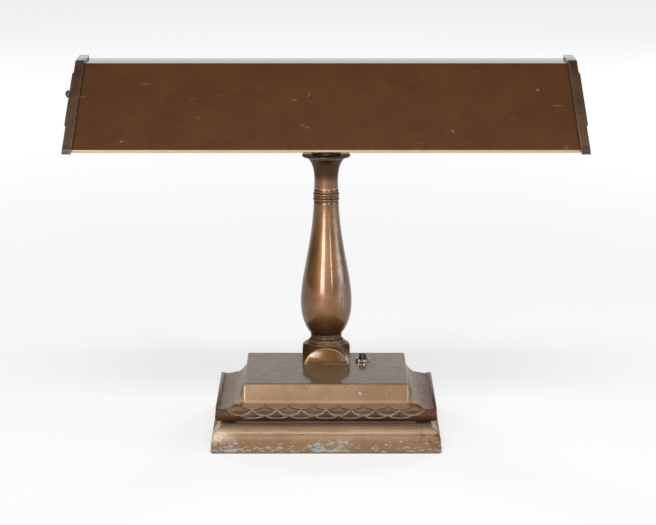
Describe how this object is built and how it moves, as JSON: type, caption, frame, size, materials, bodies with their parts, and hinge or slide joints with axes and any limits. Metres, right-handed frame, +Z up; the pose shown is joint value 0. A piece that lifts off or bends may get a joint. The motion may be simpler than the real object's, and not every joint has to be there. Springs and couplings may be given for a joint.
{
  "type": "desk lamp",
  "caption": "Desk lamp with a long trough shade that swivels and tilts on a turned column, a stepped cast base with a scale band, and a push switch.",
  "frame": {"origin": "on the desk, under the column's axis", "axes": "+X along the shade to the lamp's right as seen from the front, +Y to the back, +Z up along the column"},
  "size_m": [0.5132, 0.2209, 0.3697],
  "materials": {
    "bronze": "copper-bronze lacquer over cast metal, semi-gloss, worn",
    "bronze_iron": "copper-bronze lacquer over cast iron, semi-gloss, worn",
    "shade_paint": "dark bronze lacquer over folded steel sheet",
    "felt": "dark felt",
    "steel_cover": "grey painted steel sheet",
    "steel": "zinc-plated steel",
    "ballast_paint": "black enamel on a steel case",
    "black_rubber": "black rubber",
    "black_bakelite": "black moulded plastic",
    "button_black": "black polished plastic",
    "nickel": "nickel plate",
    "brass": "plain brass",
    "fibre": "red-brown vulcanised fibre",
    "lead_rubber": "pale insulation",
    "reflector_white": "white enamel on steel sheet",
    "white_plastic": "white moulded plastic",
    "can_metal": "bright aluminium",
    "lamp_glass": "phosphor-coated glass, white"
  },
  "bodies": {
    "base": {"felt_pad": "felt", "base_casting": "bronze_iron", "bottom_cover": "steel_cover", "cover_screws": "steel", "cord_bushing": "black_rubber", "ballast_front": "ballast_paint", "ballast_rear": "ballast_paint", "ballast_screws": "steel", "switch_body": "black_bakelite", "switch_nut": "nickel", "threaded_tube": "brass", "tube_washer": "steel", "tube_locknut": "brass", "column_leads": "lead_rubber", "pedestal_block": "bronze", "column_collar": "bronze", "column_vase": "bronze", "column_capital": "bronze", "stop_pin": "steel", "swivel_washer": "fibre", "swivel_top_washer": "steel", "swivel_locknut": "brass"},
    "button": {"switch_button": "button_black"},
    "swivel": {"swivel_yoke": "steel"},
    "head": {"friction_washers": "fibre", "hinge_bolt": "steel", "hinge_nut": "brass", "tilt_bracket": "steel", "bracket_screws": "steel", "spine_channel": "steel", "holder_plate_left": "steel", "holder_plate_right": "steel", "plate_screws": "steel", "channel_leads": "lead_rubber", "reflector": "reflector_white", "shade_shell": "shade_paint", "end_cap_left": "bronze", "end_cap_right": "bronze", "cap_knob": "bronze", "cap_screw": "bronze", "lampholders_front": "white_plastic", "lampholders_rear": "white_plastic", "holder_screws": "steel", "starter_sockets": "white_plastic"},
    "lamp_front": {"tube_front": "lamp_glass", "tube_caps_front": "can_metal", "tube_pins_front": "brass", "rotors_front": "white_plastic"},
    "lamp_rear": {"tube_rear": "lamp_glass", "tube_caps_rear": "can_metal", "tube_pins_rear": "brass", "rotors_rear": "white_plastic"},
    "starter_left": {"starter_left": "can_metal"},
    "starter_right": {"starter_right": "can_metal"}
  },
  "joints": [
    {"name": "shade_swivel", "type": "hinge", "parent": "base", "child": "swivel", "pos_m": [0, 0, 0.2735], "axis": [0, 0, 1], "range_deg": [-160, 160]},
    {"name": "shade_tilt", "type": "hinge", "parent": "swivel", "child": "head", "pos_m": [0, 0, 0.329], "axis": [1, 0, 0], "range_deg": [-30, 30]},
    {"name": "switch_press", "type": "slide", "parent": "base", "child": "button", "axis": [0, 0, -1], "range_m": [0, 0.0025], "stiffness_N_per_m": 800, "springref_m": -0.001},
    {"name": "lamp_front_turn", "type": "hinge", "parent": "head", "child": "lamp_front", "pos_m": [0, -0.038, 0.313], "axis": [1, 0, 0], "range_deg": [0, 90]},
    {"name": "lamp_rear_turn", "type": "hinge", "parent": "head", "child": "lamp_rear", "pos_m": [0, 0.038, 0.313], "axis": [1, 0, 0], "range_deg": [0, 90]},
    {"name": "starter_left_twist", "type": "hinge", "parent": "head", "child": "starter_left", "pos_m": [-0.085, 0, 0.335], "axis": [0, 0, 1], "range_deg": [0, 40]},
    {"name": "starter_right_twist", "type": "hinge", "parent": "head", "child": "starter_right", "pos_m": [0.085, 0, 0.335], "axis": [0, 0, 1], "range_deg": [0, 40]}
  ]
}
